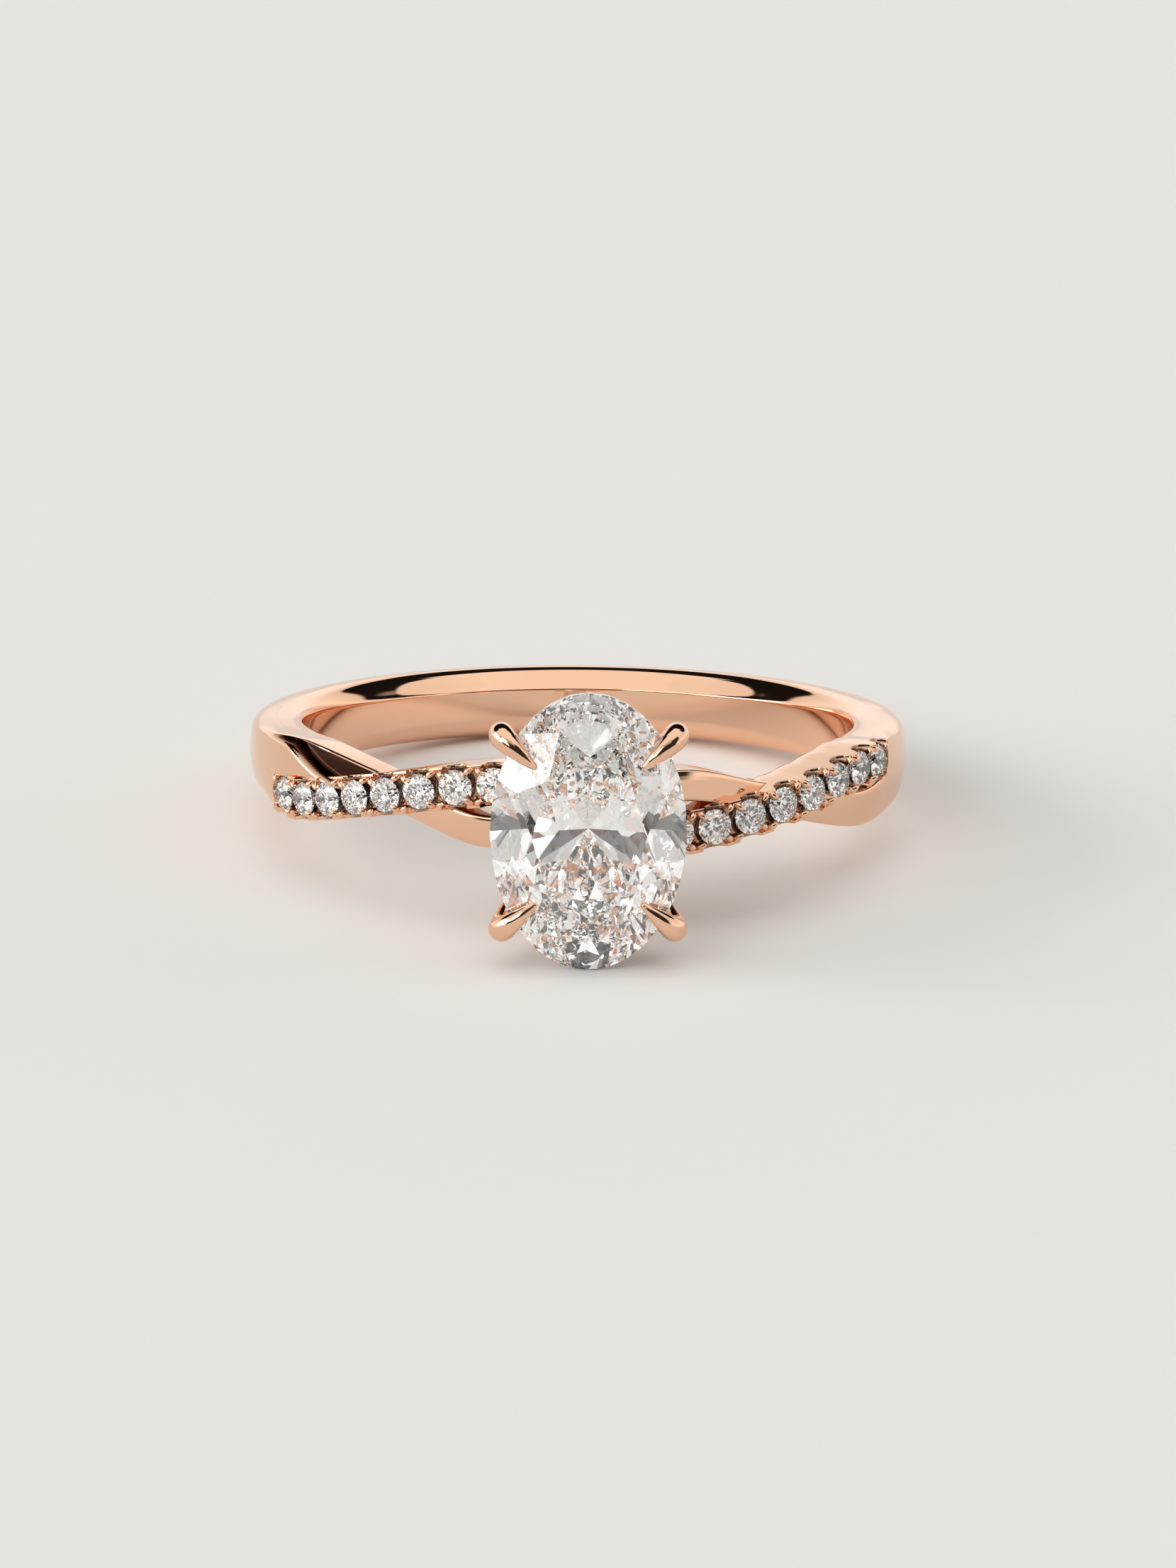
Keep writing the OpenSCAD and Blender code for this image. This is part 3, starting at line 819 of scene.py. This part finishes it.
def addRoom():
    # a level by height, over which each soft patch is laid in turn; the camera itself sees a plain wall
    world = bpy.data.worlds.new("soft_room")
    bpy.context.scene.world = world
    world.use_nodes = True
    tree = world.node_tree
    place = addNode(tree, "ShaderNodeTexCoord")
    parts = addNode(tree, "ShaderNodeSeparateXYZ")
    tree.links.new(place.outputs["Generated"], parts.inputs["Vector"])
    glow = addNode(tree, "ShaderNodeValToRGB")
    for k, (at, level) in enumerate(studio["heights"]):
        stop = glow.color_ramp.elements[k] if k < 2 else glow.color_ramp.elements.new(at)
        stop.position = at
        stop.color = (*(level * c for c in studio["warm"]), 1)
    tree.links.new(parts.outputs["Z"], glow.inputs["Fac"])
    light = glow.outputs["Color"]
    for name, level, across, away, up, blur in studio["patches"]:
        spans = [softSpan(tree, parts.outputs[axis], limits, blur)
                 for axis, limits in zip("XYZ", (across, away, up))]
        tone = (*(level * c for c in studio["warm"]), 1)
        light = colourMix(tree, multiplied(tree, spans), light, tone, label=name)
    seen = addNode(tree, "ShaderNodeLightPath")
    wall = colourMix(tree, seen.outputs["Is Camera Ray"], light, studio["wall"])
    tree.links.new(wall, tree.nodes["Background"].inputs["Color"])
    tree.nodes["Background"].inputs["Strength"].default_value = studio["strength"]


addRoom()

view = {
    "distance": 120.0, "height": 10.3, "around": 1.4, "roll": 0.37,   # mm and degrees, in the ring frame
    "focalPixels": 5430.0, "frameWide": 1659.0, "frameHigh": 2212.0,
    "centreX": 815.0, "centreY": 1057.2,                              # where the ring's middle falls
    "filmSize": 36.0, "clipNear": 0.001, "clipFar": 10,
}


def addCamera():
    # the eye on a sphere round the ring's middle, by height and angle; the shift puts that middle where
    # the photograph has it
    e, a, roll = [math.radians(view[k]) for k in ("height", "around", "roll")]
    spot = view["distance"] * np.array([-math.cos(e) * math.sin(a), -math.cos(e) * math.cos(a), math.sin(e)])
    centre, eye, above = atRest([[0, 0, 0], spot, [0, 0, 1]])
    back = Vector(eye - centre).normalized()
    up = Vector(above - centre)
    right = up.cross(back).normalized()
    up = back.cross(right)
    tiltedUp = up * math.cos(roll) - right * math.sin(roll)
    tiltedRight = right * math.cos(roll) + up * math.sin(roll)
    camera = bpy.data.cameras.new("camera")
    camera.sensor_width = view["filmSize"]
    camera.lens = view["focalPixels"] / view["frameHigh"] * view["filmSize"]
    camera.shift_x = (view["frameWide"] / 2 - view["centreX"]) / view["frameHigh"]
    camera.shift_y = (view["centreY"] - view["frameHigh"] / 2) / view["frameHigh"]
    camera.clip_start = view["clipNear"]
    camera.clip_end = view["clipFar"]
    holder = bpy.data.objects.new("camera", camera)
    axes = Matrix((tiltedRight, tiltedUp, back)).transposed()
    holder.matrix_world = Matrix.Translation(Vector(eye)) @ axes.to_4x4()
    bpy.context.scene.collection.objects.link(holder)
    bpy.context.scene.camera = holder


addCamera()

scene = bpy.context.scene
scene.view_settings.view_transform = "Standard"
scene.cycles.max_bounces = studio["bounces"]
scene.cycles.transmission_bounces = studio["bounces"]
scene.cycles.glossy_bounces = studio["bounces"]
scene.cycles.caustics_refractive = True
scene.cycles.use_denoising = True
print("scene set")
